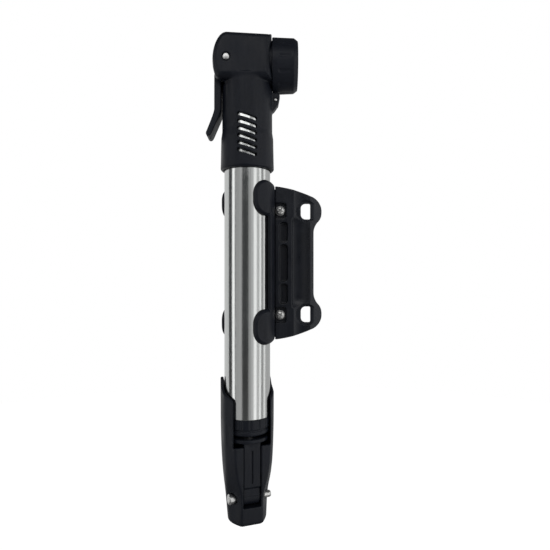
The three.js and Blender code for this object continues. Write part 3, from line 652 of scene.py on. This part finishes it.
def barrel_pieces():
    show("barrel_tube", *spun([
        (BARREL_INNER, BARREL_BOTTOM),
        (BARREL_RADIUS, BARREL_BOTTOM),
        (BARREL_RADIUS, BARREL_TOP),
        (BARREL_INNER, BARREL_TOP),
    ], segments=192))
    plug_radius = BARREL_INNER - GAP
    show("plug_o_ring", *spun(seal_profile(BARREL_INNER - 2, BARREL_INNER - 0.1, BARREL_TOP - 5)))
    show("plunger_o_ring", *spun(seal_profile(5.2, 6.8, 6.2), "x", 0.25, 72, (0, 0, OUTLET)))
    show("piston_seal", *spun(seal_profile(plug_radius - 2.2, BARREL_INNER - 0.1, 71)))
    show("rod_bush", *spun([
        (5.25, CAP_BOTTOM + 0.4),
        (7.2, CAP_BOTTOM + 0.4),
        (7.2, CAP_TOP + 10.6),
        (5.25, CAP_TOP + 10.6),
    ]))
    show("piston_rod", *spun([
        (0, DISC_TOP - 12),
        (3.4, DISC_TOP - 12),
        (3.4, DISC_TOP + GAP),
        (5, DISC_TOP + GAP),
        (5, 65.7),
        (3.2, 65.7),
        (3.2, 75),
        (1.8, 75),
        (1.8, 68),
        (0, 68),
    ]))
    show("piston", *spun([
        (3.5, 66),
        (plug_radius - 0.5, 66),
        (plug_radius, 66.6),
        (plug_radius, 69.7),
        (plug_radius - 2.2, 69.7),
        (plug_radius - 2.2, 72.3),
        (plug_radius, 72.3),
        (plug_radius, 74.4),
        (plug_radius - 0.8, 75.2),
        (3.5, 75.2),
    ]))
    show("piston_screw", *spun([
        (0, 68.4),
        (1.5, 68.4),
        (1.5, 75.5),
        (5, 75.5),
        (5, 76.4),
        (4, 77.4),
        (0, 77.4),
    ], segments=64))
    show("check_valve", *spun([
        (0, BARREL_TOP + 1.5),
        (4.8, BARREL_TOP + 1.5),
        (4.8, BARREL_TOP + 2.5),
        (0, BARREL_TOP + 2.8),
    ], segments=72))
    plug()
    end_cap()


def plug():
    """The plug in the barrel's top, with its air hole and the valve disc's seat."""
    low, high = corners("barrel_plug")
    groove = BARREL_TOP - 5
    show("barrel_plug", *spun([
        (1.5, low[2]),
        (BARREL_INNER - GAP, low[2]),
        (BARREL_INNER - GAP, groove - 1.2),
        (BARREL_INNER - 2, groove - 1.2),
        (BARREL_INNER - 2, groove + 1.2),
        (BARREL_INNER - GAP, groove + 1.2),
        (BARREL_INNER - GAP, BARREL_TOP + GAP),
        (high[0], BARREL_TOP + GAP),
        (high[0], high[2]),
        (5.2, high[2]),
        (5.2, BARREL_TOP + 1.2),
        (1.5, BARREL_TOP + 1.2),
    ]))


def end_cap():
    low, high = corners("end_cap")
    grid = Grid(low, high, 0.24)
    radius = np.hypot(grid.x, grid.y)
    plug_radius = BARREL_INNER - GAP
    body = turned(radius, grid.z, [
        (0, CAP_BOTTOM),
        (12.6, CAP_BOTTOM),
        (13.4, CAP_BOTTOM + 0.8),
        (13.4, CAP_BOTTOM + 2.4),
        (12.9, CAP_BOTTOM + 3),
        (12.9, CAP_BOTTOM + 3.6),
        (13.8, CAP_BOTTOM + 4),
        (13.8, CAP_TOP),
        (plug_radius, CAP_TOP),
        (plug_radius, high[2]),
        (0, high[2]),
    ])
    sector = 2 * math.pi / 16
    nearest = np.arctan2(grid.y, grid.x) % sector - sector / 2
    flutes = np.maximum(
        np.hypot(radius * np.sin(nearest), radius * np.cos(nearest) - 14.2) - 0.85,
        CAP_BOTTOM + 4.2 - grid.z,
    )
    body = cut(body, flutes, fillet=0.3)
    body = cut(body, cylinder(radius, 7.5, grid.z, CAP_BOTTOM - 5, high[2] + 5))
    show("end_cap", *grid.skin(body))


# ---------------------------------------------------------------- bracket
CLIP_INNER = BARREL_RADIUS + GAP
CLIP_OUTER = CLIP_INNER + 2.5
BAND_INNER_Z = 28.0
BAND_SIDE = 46.3  # height of the bands' outer edge round the side and back
FLANGE_FRONT = ARM_BACK + GAP
FLANGE_BACK = FLANGE_FRONT + 3.2
SCREW_HOLE = 1.8


def clip_sector(x, y, start, end):
    """Place along the clip's wall from the middle of a sector, and the sector's half length."""
    middle = (start + end) / 2
    angle = np.degrees(np.arctan2(x, -y))
    turn = (angle - middle + 180) % 360 - 180
    wall = math.radians(1) * (CLIP_INNER + CLIP_OUTER) / 2
    return turn * wall, (end - start) / 2 * wall


def clip():
    low, high = corners("clip")
    grid = Grid(low - 1, high + 1, 0.32)
    x, y, z = grid.x, grid.y, grid.z
    radius = np.hypot(x, y)
    wall = slab(radius, CLIP_INNER, CLIP_OUTER)

    along, half_length = clip_sector(x, y, 18, 257)
    turned_from_front = np.degrees(np.arctan2(x, -y)) % 360
    share = np.clip((turned_from_front - 40) / 110, 0, 1)
    outer = BAND_TOP + (BAND_SIDE - BAND_TOP) * share * share * (3 - 2 * share)
    half_height = (outer - BAND_INNER_Z) / 2
    tip = np.where(along > 0, 7.8, 8.6)
    over_end = np.abs(along) - half_length + tip
    over_side = np.abs(np.abs(z) - BAND_INNER_Z - half_height) - half_height + tip
    face = np.hypot(np.maximum(over_end, 0), np.maximum(over_side, 0)) - tip
    face = face + np.minimum(np.maximum(over_end, over_side), 0)
    bands = rounded(0.5, face, wall)
    bevel = np.where(along < 0, 1.5, 0.4)  # wide on the front tips, slight on the rear ones
    bands = cut(bands, -(face + radius - CLIP_OUTER + bevel) / math.sqrt(2), fillet=0.3)

    along, half_length = clip_sector(x, y, 60, 152)
    spine = rounded(0.55, np.abs(along) - half_length, np.abs(z) - BAND_INNER_Z - 1, wall)
    plate = rounded(
        0.5,
        rounded(3, slab(x, 6, high[0]), np.abs(z) - BAND_TOP + 2),
        slab(y, FLANGE_FRONT, FLANGE_BACK),
    )
    body = joined(joined(bands, spine, 1.0), plate, 0.8)
    holes = np.hypot(x - SCREW_X, np.abs(z) - SCREW_Z) - SCREW_HOLE
    holes = np.maximum(holes, FLANGE_FRONT - 2 - y)
    body = cut(body, np.hypot(x, y) - CLIP_INNER, holes, fillet=0.3)
    show("clip", *grid.skin(body))


def plate_section():
    """The plate's section in x and y. Its back is hollowed for a bicycle's tube."""
    hollow, pad_half, ridge, tip_y = 19.0, 4.0, 38.7, 6.3
    tube_y = PAD_Y + math.sqrt(hollow**2 - pad_half**2)

    def saddle(x):
        return (x, tube_y - math.sqrt(hollow**2 - (x - SLOT_X) ** 2))

    return [
        (ARM_LEFT, ARM_FRONT),
        *curve((28.6, ARM_FRONT), (33, ARM_FRONT + 1.5), (ridge, ARM_FRONT - 0.4), steps=8),
        (ridge, ARM_FRONT - 0.4),
        (PLATE_TIP, tip_y),
        *[saddle(x) for x in np.linspace(PLATE_TIP, SLOT_X + pad_half, 6)],
        *[saddle(x) for x in np.linspace(SLOT_X - pad_half, 26, 8)],
        (24.6, ARM_BACK),
        (ARM_LEFT, ARM_BACK),
    ]


def plate_outline():
    """The plate from the front: a waist between two rounded ears."""
    waist, ear_radius, ear_x, neck_angle = 41.0, 9.6, 36.8, 0.62
    half = plate_high[2]
    neck = (ear_x + ear_radius * math.cos(neck_angle), BOSS_Z - ear_radius * math.sin(neck_angle))
    upper = [
        *curve((waist, BOSS_Z - 13), (waist + 0.2, BOSS_Z - 9), neck, steps=6),
        *arc(ear_x, BOSS_Z, ear_radius, -neck_angle, 1.25, 20),
        *curve((ear_x + 2.2, BOSS_Z + ear_radius - 0.3), (30, half - 1.6), (ARM_LEFT, half), steps=8),
        (ARM_LEFT, half),
        (ARM_LEFT - 6, half),
    ]
    return [(x, -z) for x, z in reversed(upper)] + upper


def mount_plate():
    grid = Grid(plate_low, plate_high, 0.28)
    x, y, z = grid.x, grid.y, grid.z
    body = rounded(0.55, outline(x, y, plate_section()), outline(x, z, plate_outline()))
    hollow_x, hollow_front, hollow_radius, hollow_left = 30.5, 8.5, 13, 27.6
    run_out = np.clip((np.abs(z) - 21) / 8, 0, 2)  # the hollow grows shallow towards the ears
    hollow = np.hypot(x - hollow_x, y + hollow_front) - hollow_radius + run_out * run_out * 3
    hollow = rounded(0.8, hollow, hollow_left - x)
    body = cut(body, hollow, fillet=0.4)
    from_boss = np.abs(z) - BOSS_Z
    round_side = np.hypot(x - SLOT_X, np.maximum(np.abs(from_boss) - 1.95, 0)) - 2.95
    straight_side = rounded(0.9, x - SLOT_X - 2.95, np.abs(from_boss) - 4.9)
    slot = np.where(x < SLOT_X, round_side, straight_side)
    seat = np.maximum(np.hypot(x - SLOT_X - 0.4, from_boss) - 6.4, y - ARM_FRONT - 1.3)
    body = cut(body, seat, fillet=0.5)
    body = cut(body, slot, fillet=0.5)
    for middle, half_height in ((19.1, 6.1), (0.0, 11.4), (-19.1, 6.1)):
        pocket = rounded(1.8, slab(x, 19.9, 24.7), slab(z, middle - half_height, middle + half_height))
        body = cut(body, rounded(0.6, pocket, slab(y, -9, ARM_FRONT + 3.4)), fillet=0.6)
    from_screw = np.hypot(x - SCREW_X, np.abs(z) - SCREW_Z)
    recess = rounded(1.8, slab(x, ARM_LEFT - 9, 23.9), slab(np.abs(z) - SCREW_Z, -4.9, 4.9))
    body = cut(body, rounded(0.4, recess, slab(y, -9, ARM_FRONT + 2.6)), from_screw - SCREW_HOLE)
    show("mount_plate", *grid.skin(body))


def bracket_fastenings():
    for place, height in (("upper", SCREW_Z), ("lower", -SCREW_Z)):
        seat = corners("bracket_washer_" + place)[0][1]
        show("bracket_washer_" + place, *spun([
            (SCREW_HOLE, seat),
            (2.9, seat),
            (2.9, seat + 0.6),
            (SCREW_HOLE, seat + 0.6),
        ], "y", 0.15, 64, (SCREW_X, 0, height)))

        low, high = corners("bracket_screw_" + place)
        grid = Grid(low, high, 0.12)
        radius = np.hypot(grid.x - SCREW_X, grid.z - height)
        head_back = seat - GAP
        dome = np.hypot(radius, (grid.y - low[1] - 4.9)) - 4.9
        head = rounded(0.3, dome, radius - 2.45, grid.y - head_back)
        thread = 0.1 * np.abs(((grid.y * 2) % 1) * 2 - 1)
        threaded = radius - 1.45 + np.where(grid.y > head_back + 3, thread, 0)
        shank = rounded(0.25, threaded, slab(grid.y, head_back - 1, high[1]))
        turn = 0.5
        u = (grid.x - SCREW_X) * math.cos(turn) - (grid.z - height) * math.sin(turn)
        v = (grid.x - SCREW_X) * math.sin(turn) + (grid.z - height) * math.cos(turn)
        deep = low[1] + 1.1 - grid.y
        cross = np.minimum(
            np.maximum(np.abs(u) - 1.5, np.abs(v) - 0.35),
            np.maximum(np.abs(v) - 1.5, np.abs(u) - 0.35),
        )
        body = cut(np.minimum(head, shank), np.maximum(cross, -deep), fillet=0.15)
        show("bracket_screw_" + place, *grid.skin(body))

        low, high = corners("bracket_nut_" + place)
        grid = Grid(low - 0.4, high + 0.4, 0.14)
        u, v = grid.x - SCREW_X, grid.z - height
        flats = np.float32(-9)
        for i in range(3):
            angle = math.radians(60 * i)
            flats = np.maximum(flats, np.abs(u * math.cos(angle) + v * math.sin(angle)) - 2.75)
        radius = np.hypot(u, v)
        chamfer = radius + np.abs(grid.y - (low[1] + high[1]) / 2) - 4.0
        body = np.maximum(rounded(0.1, flats, slab(grid.y, low[1], high[1])), chamfer)
        show("bracket_nut_" + place, *grid.skin(cut(body, radius - SCREW_HOLE, fillet=0.3)))


# ---------------------------------------------------------------- handle
# The handle and the rod's end are worked out with the handle's opening towards -y, and turned when shown.
TONGUE_HALF = 5.2
HANDLE_HEIGHTS = [0, 8, 16, 22, 28, 36, 44, 52, 62, 89]
HANDLE_HALF_WIDTHS = [11.8, 12.5, 13.1, 13.8, 14.5, 15.2, 15.6, 15.9, 16.1, 16.2]
HANDLE_FRONT_HALF_WIDTHS = [7.6, 6.7, 6.4, 7.2, 9.4, 10.9, 11.4, 11.4, 11.4, 11.4]
HANDLE_FRONTS = [10.2, 10.4, 10.6, 11.0, 11.2, 11.3, 11.3, 11.3, 11.3, 11.3]
HANDLE_BACKS = [9.3, 10.8, 12.0, 13.0, 14.0, 15.0, 15.8, 16.1, 16.2, 16.2]


def handle_form(grid, inset):
    """The handle's outer form drawn in by inset. Its front is flat and its back round.

    Low down, where the front is slim, the sides between them are flat too.
    """
    height = grid.z - HANDLE_BOTTOM

    def along(values):
        softened = sum(np.interp(height + shift, HANDLE_HEIGHTS, values) for shift in (-3, -1, 1, 3)) / 4
        return softened.astype(np.float32)

    half = along(HANDLE_HALF_WIDTHS) - inset
    front = along(HANDLE_FRONTS) - inset
    back = along(HANDLE_BACKS) - inset
    corner = along(HANDLE_FRONT_HALF_WIDTHS) - 0.6 * inset
    reach = np.where(grid.y < 0, half, back)
    share = (np.abs(grid.x / half) ** 2.2 + np.abs(grid.y / reach) ** 2.2) ** (1 / 2.2)
    round_form = np.hypot(grid.x, grid.y) * (1 - 1 / np.maximum(share, 0.05))
    widened = np.clip(along(HANDLE_FRONT_HALF_WIDTHS) - 6.4, 0, 5) * 0.8
    run = half + 0.8 - corner + widened
    flat_side = ((np.abs(grid.x) - corner) * front - (front + grid.y) * run) / np.hypot(front, run)
    return cut(cut(round_form, -flat_side, fillet=1.6), grid.y + front, fillet=0.7)


def handle_trim():
    """Side outline of what is cut off the arms: a rounded tip, and a dip at the back between the arms."""
    base = HANDLE_BOTTOM
    return [
        (-30, base + 73.6),
        *curve((-11, base + 73.6), (-10.5, base + 77), (-3, base + 78), (0.5, base + 82)),
        *curve((0.5, base + 82), (1.5, base + 84), (2, base + 86.5), (3.5, base + 87.6)),
        *curve((3.5, base + 87.6), (6, base + 88.6), (8, base + 82), (18, base + 78)),
        (18, base + 78),
        (30, base + 78),
        (30, base + 110),
        (-30, base + 110),
    ]


def handle_shell():
    arm_inner, wall, slot_half = BARREL_RADIUS + GAP, 2.1, TONGUE_HALF + 0.3
    wall_top = DISC_BOTTOM - 2.1
    slot_floor = HANDLE_BOTTOM + 11.3
    grid = Grid((-16.6, -12.8, HANDLE_BOTTOM), (16.6, 16.6, HANDLE_BOTTOM + 88.5), 0.34)
    x, y, z = grid.x, grid.y, grid.z
    skin = rounded(2.6, handle_form(grid, 0), HANDLE_BOTTOM - z)
    hollow = rounded(1.5, handle_form(grid, wall), HANDLE_BOTTOM + 12.5 - z)
    slot = rounded(0.3, np.abs(x) - slot_half, slot_floor - z)
    clevis = np.maximum(handle_form(grid, 1), slab(z, HANDLE_BOTTOM + 1.5, HANDLE_BOTTOM + 28))
    clevis = cut(clevis, slot)
    shell = np.minimum(cut(skin, hollow), np.maximum(clevis, skin))
    opening = np.where(y < 0, np.abs(x) - 11.5, 99)
    barrel_space = np.maximum(np.minimum(np.hypot(x, y) - arm_inner, opening), wall_top - z)
    front_slot = np.maximum(slot, y + 4)
    tongue_space = np.maximum(np.maximum(slot, np.abs(y) - 8), z - wall_top)
    trim = outline(y, z, handle_trim())
    from_pin = np.hypot(y + PIVOT_FORWARD, z - PIVOT)
    pin_hole = 2.35
    recess = np.clip(pin_hole - (x + 8.5) * 0.34, pin_hole, 3.5)  # widens outwards round the pin's head
    head_recess = np.maximum(from_pin - recess, x + 5)
    shell = cut(shell, barrel_space, fillet=0.7)
    shell = cut(shell, front_slot, tongue_space, fillet=0.5)
    shell = cut(cut(shell, trim, fillet=0.8), head_recess, fillet=0.4)
    shell = cut(shell, from_pin - pin_hole, fillet=0.3)
    show("handle_shell", *grid.skin(shell), yaw=HANDLE_YAW)


def rod_end():
    """The disc under the cap, and the tongue that reaches down to the handle's pin."""
    tongue_radius = 4.2
    grid = Grid((-13.1, -13.1, PIVOT - tongue_radius), (13.1, 13.1, DISC_TOP), 0.26)
    x, y, z = grid.x, grid.y, grid.z
    radius = np.hypot(x, y)
    disc = cylinder(radius, 13.0, z, DISC_BOTTOM, DISC_TOP, 0.6)
    front, back = -PIVOT_FORWARD - tongue_radius, -PIVOT_FORWARD + tongue_radius
    face = front - 1.2
    side = [
        (face, DISC_BOTTOM + 1),
        (face, PIVOT + 7.6),
        (front, PIVOT + 6.2),
        *arc(-PIVOT_FORWARD, PIVOT, tongue_radius, math.pi, 2 * math.pi),
        (back, PIVOT + 10),
        (6.5, PIVOT + 22),
        (6.5, DISC_BOTTOM + 1),
    ]
    tongue = rounded(0.4, outline(y, z, side), np.abs(x) - TONGUE_HALF)
    body = joined(disc, tongue, 0.8)
    groove = np.maximum(np.maximum(np.abs(x) - 0.35, y - face - 0.7), slab(z, PIVOT + 9.5, DISC_BOTTOM - 5))
    socket = cylinder(radius, 3.7, z, DISC_TOP - 12.6, DISC_TOP + 9)
    bore = np.hypot(y + PIVOT_FORWARD, z - PIVOT) - 2.3
    body = cut(body, groove, fillet=0.25)
    body = cut(body, socket, bore, fillet=0.4)
    show("rod_end", *grid.skin(body), yaw=HANDLE_YAW)


def handle_pin():
    """A bullet-shaped head on one side, and a domed end on the other."""
    pivot = (0, -PIVOT_FORWARD, PIVOT)
    show("handle_pin", *spun([
        (0, -13.6),
        (2.4, -13.5),
        (3.1, -13.0),
        (3.2, -12.2),
        (3.0, -11.0),
        (2.5, -9.6),
        (2.05, -8.8),
        (2.05, 12.4),
        (1.6, 13.2),
        (0, 13.5),
    ], "x", 0.3, 72, pivot), yaw=HANDLE_YAW)


# ---------------------------------------------------------------- camera, lights and floor
def in_frame(x, y, z):
    """A point given from the barrel's axis, in the frame's metres."""
    return tuple((np.array([x, y, z]) + AXIS) / 1000)


def add_camera():
    data = bpy.data.cameras.new("camera")
    data.sensor_width = 36
    data.lens = 32.07
    data.clip_start = 0.01
    camera = bpy.data.objects.new("camera", data)
    camera.location = in_frame(17, -301, -7.5)
    camera.rotation_euler = (math.pi / 2, 0, 0)
    bpy.context.scene.collection.objects.link(camera)
    bpy.context.scene.camera = camera


def add_panel(name, start, end, brightness, low=-0.72, high=0.75):
    """An upright soft panel on a ring of 1 m round the barrel. Its edges are degrees right of the camera."""
    distance = 1.0
    middle = math.radians((start + end) / 2)
    width = 2 * distance * math.tan(math.radians(end - start) / 2)
    data = bpy.data.lights.new(name, "AREA")
    data.shape = "RECTANGLE"
    data.size = width
    data.size_y = high - low
    data.energy = brightness * math.pi * width * (high - low)
    light = bpy.data.objects.new(name, data)
    x, y, _ = in_frame(0, 0, 0)
    light.location = (x + distance * math.sin(middle), y - distance * math.cos(middle), (low + high) / 2)
    light.rotation_euler = (math.pi / 2, 0, middle)
    light.visible_camera = False
    bpy.context.scene.collection.objects.link(light)


def add_lights():
    add_panel("rear_left", -178, -102, 0.62)
    add_panel("left_key", -78, -62, 1.2)
    add_panel("left_fill", -58, -23, 0.34)
    add_panel("right_near", 9, 22, 0.34)
    add_panel("right_fill", 22, 35, 0.5)
    add_panel("right_key", 35, 50, 1.1)
    add_panel("right_gap", 50, 64, 0.5)
    add_panel("right_strip", 65, 76, 1.15)
    add_panel("side_gap", 76, 90, 0.28)
    add_panel("side_strip", 91, 104, 0.9)
    add_panel("rear_right", 104, 178, 0.42)
    add_high_front_light()


def add_high_front_light():
    """A soft light above the camera, too high for the upright barrel to mirror it."""
    data = bpy.data.lights.new("high_front", "AREA")
    data.shape = "RECTANGLE"
    data.size, data.size_y = 0.9, 0.45
    data.energy = 1.4 * math.pi * data.size * data.size_y
    light = bpy.data.objects.new("high_front", data)
    light.location = in_frame(-150, -950, 690)
    light.rotation_euler = (math.radians(54), 0, math.radians(-9))
    light.visible_camera = False
    bpy.context.scene.collection.objects.link(light)


def add_world():
    """White to the camera, and a dim grey room to everything else."""
    world = bpy.data.worlds.new("studio")
    world.use_nodes = True
    tree = world.node_tree
    room = tree.nodes["Background"]
    room.inputs["Color"].default_value = (0.95, 0.97, 1.0, 1)
    room.inputs["Strength"].default_value = 0.06
    backdrop = tree.nodes.new("ShaderNodeBackground")
    backdrop.inputs["Color"].default_value = (1, 1, 1, 1)
    backdrop.inputs["Strength"].default_value = 1.0
    path = tree.nodes.new("ShaderNodeLightPath")
    mix = tree.nodes.new("ShaderNodeMixShader")
    tree.links.new(path.outputs["Is Camera Ray"], mix.inputs["Fac"])
    tree.links.new(room.outputs["Background"], mix.inputs[1])
    tree.links.new(backdrop.outputs["Background"], mix.inputs[2])
    tree.links.new(mix.outputs["Shader"], tree.nodes["World Output"].inputs["Surface"])
    bpy.context.scene.world = world


def add_floor():
    """A wide pale floor below the pump, which the bracket holds up."""
    radius, segments, drop = 3.0, 96, 0.6
    low = cad_bounds[0][2] - drop
    angles = 2 * math.pi * np.arange(segments) / segments
    rim = [(radius * math.cos(a), radius * math.sin(a), low) for a in angles]
    mesh = bpy.data.meshes.new("floor")
    mesh.from_pydata(rim, [], [list(range(segments))])
    shader = Shader("pale_floor")
    paper = shader.noise(40, detail=4)
    shader.feed("Base Color", shader.tint(paper, (0.3, (0.24, 0.24, 0.24)), (0.7, (0.26, 0.26, 0.26))))
    shader.feed("Roughness", shader.spread(paper, 0.7, 0.85))
    shader.surface.inputs["Emission Color"].default_value = (1, 1, 1, 1)
    path = shader.tree.nodes.new("ShaderNodeLightPath")
    shader.feed("Emission Strength", shader.spread(path.outputs["Is Camera Ray"], 0.03, 1.0, near=0, far=1))
    mesh.materials.append(shader.material)
    floor = bpy.data.objects.new("floor", mesh)
    bpy.context.scene.collection.objects.link(floor)


add_camera()
add_lights()
add_world()
add_floor()
bpy.context.scene.view_settings.view_transform = "Standard"

head_pieces()
barrel_pieces()
clip()
mount_plate()
bracket_fastenings()
handle_shell()
rod_end()
handle_pin()
